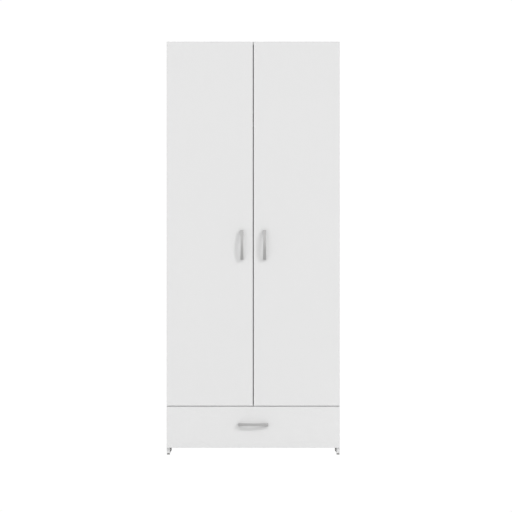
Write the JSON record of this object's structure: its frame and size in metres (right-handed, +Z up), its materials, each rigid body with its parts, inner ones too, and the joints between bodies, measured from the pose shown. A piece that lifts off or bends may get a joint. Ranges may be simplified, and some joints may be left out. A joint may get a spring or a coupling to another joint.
{
  "type": "wardrobe with doors",
  "caption": "Tall flat-pack wardrobe with plain hinged doors over a wide drawer, bow handles, hanging rail, hat shelf and side panels that run down as feet.",
  "frame": {"origin": "on the floor, under the middle of the overall box", "axes": "+Z up, the doors and the drawer front face -Y, +X to the right as seen from the front"},
  "size_m": [0.796, 0.529, 1.9],
  "materials": {
    "white_board": "white melamine with a fine eggshell texture and white edge band",
    "front_board": "white melamine front with white edge band",
    "hardboard": "white lacquered hardboard, smooth inside",
    "strip_plastic": "white extruded plastic",
    "zinc_steel": "bright zinc-plated steel",
    "die_cast": "plain die-cast zinc",
    "nickel_steel": "nickel-plated pressed steel",
    "satin_nickel": "satin metal handle",
    "chrome_tube": "polished chrome tube",
    "beech": "fluted beech dowel",
    "white_enamel": "white epoxy-coated sheet steel",
    "white_plastic": "white nylon roller",
    "grey_plastic": "light grey plastic glide",
    "soft_plastic": "soft translucent bumper"
  },
  "bodies": {
    "carcass": {"side_panel_left": "white_board", "side_panel_right": "white_board", "top_panel": "white_board", "drawer_deck": "white_board", "bottom_panel": "white_board", "hat_shelf": "white_board", "back_panel_left": "hardboard", "back_panel_right": "hardboard", "back_joint_strip": "strip_plastic", "back_panel_nails": "zinc_steel", "hanging_rail": "chrome_tube", "rail_bracket_left": "die_cast", "rail_bracket_right": "die_cast", "shelf_supports": "zinc_steel", "carcass_cams": "die_cast", "carcass_cam_bolts": "zinc_steel", "carcass_dowels": "beech", "floor_glides": "grey_plastic", "door_buffers": "soft_plastic", "wall_bracket_left": "zinc_steel", "wall_bracket_right": "zinc_steel", "wall_bracket_screws": "zinc_steel", "euro_screws": "zinc_steel", "cabinet_runner_left": "white_enamel", "cabinet_runner_right": "white_enamel", "hinge_plates_left": "nickel_steel", "hinge_plates_right": "nickel_steel", "hinge_arms_left": "nickel_steel", "hinge_arms_right": "nickel_steel"},
    "left_door": {"door_left": "front_board", "door_handle_left": "satin_nickel", "handle_screws_left": "zinc_steel", "hinge_cups_left": "nickel_steel", "hinge_pins_left": "zinc_steel", "hinge_cup_screws_left": "zinc_steel"},
    "right_door": {"door_right": "front_board", "door_handle_right": "satin_nickel", "handle_screws_right": "zinc_steel", "hinge_cups_right": "nickel_steel", "hinge_pins_right": "zinc_steel", "hinge_cup_screws_right": "zinc_steel"},
    "drawer": {"drawer_front": "front_board", "drawer_side_left": "white_board", "drawer_side_right": "white_board", "drawer_back": "white_board", "drawer_bottom": "hardboard", "drawer_handle": "satin_nickel", "drawer_handle_screws": "zinc_steel", "drawer_cams": "die_cast", "drawer_cam_bolts": "zinc_steel", "drawer_dowels": "beech", "drawer_screws": "zinc_steel", "drawer_runner_left": "white_enamel", "drawer_runner_right": "white_enamel"},
    "front_roller_left": {"cabinet_wheel_left": "white_plastic"},
    "front_roller_right": {"cabinet_wheel_right": "white_plastic"},
    "rear_roller_left": {"drawer_wheel_left": "white_plastic"},
    "rear_roller_right": {"drawer_wheel_right": "white_plastic"}
  },
  "joints": [
    {"name": "left_door_hinge", "type": "hinge", "parent": "carcass", "child": "left_door", "pos_m": [-0.391, -0.2315, 1.0615], "axis": [0, 0, -1], "range_deg": [0, 95]},
    {"name": "right_door_hinge", "type": "hinge", "parent": "carcass", "child": "right_door", "pos_m": [0.391, -0.2315, 1.0615], "axis": [0, 0, 1], "range_deg": [0, 95]},
    {"name": "drawer_slide", "type": "slide", "parent": "carcass", "child": "drawer", "axis": [0, -1, 0], "range_m": [0, 0.3]},
    {"name": "front_roller_left_spin", "type": "hinge", "parent": "carcass", "child": "front_roller_left", "pos_m": [-0.3766, -0.2055, 0.0674], "axis": [1, 0, 0], "range_deg": [0, 2160]},
    {"name": "rear_roller_left_spin", "type": "hinge", "parent": "drawer", "child": "rear_roller_left", "pos_m": [-0.3756, 0.1665, 0.0685], "axis": [1, 0, 0], "range_deg": [0, 1920]},
    {"name": "front_roller_right_spin", "type": "hinge", "parent": "carcass", "child": "front_roller_right", "pos_m": [0.3766, -0.2055, 0.0674], "axis": [1, 0, 0], "range_deg": [0, 2160]},
    {"name": "rear_roller_right_spin", "type": "hinge", "parent": "drawer", "child": "rear_roller_right", "pos_m": [0.3756, 0.1665, 0.0685], "axis": [1, 0, 0], "range_deg": [0, 1920]}
  ],
  "couplings": [
    {"joint": "front_roller_left_spin", "follows": "drawer_slide", "rad_per_m": 125},
    {"joint": "rear_roller_left_spin", "follows": "drawer_slide", "rad_per_m": 111.11},
    {"joint": "front_roller_right_spin", "follows": "drawer_slide", "rad_per_m": 125},
    {"joint": "rear_roller_right_spin", "follows": "drawer_slide", "rad_per_m": 111.11}
  ]
}
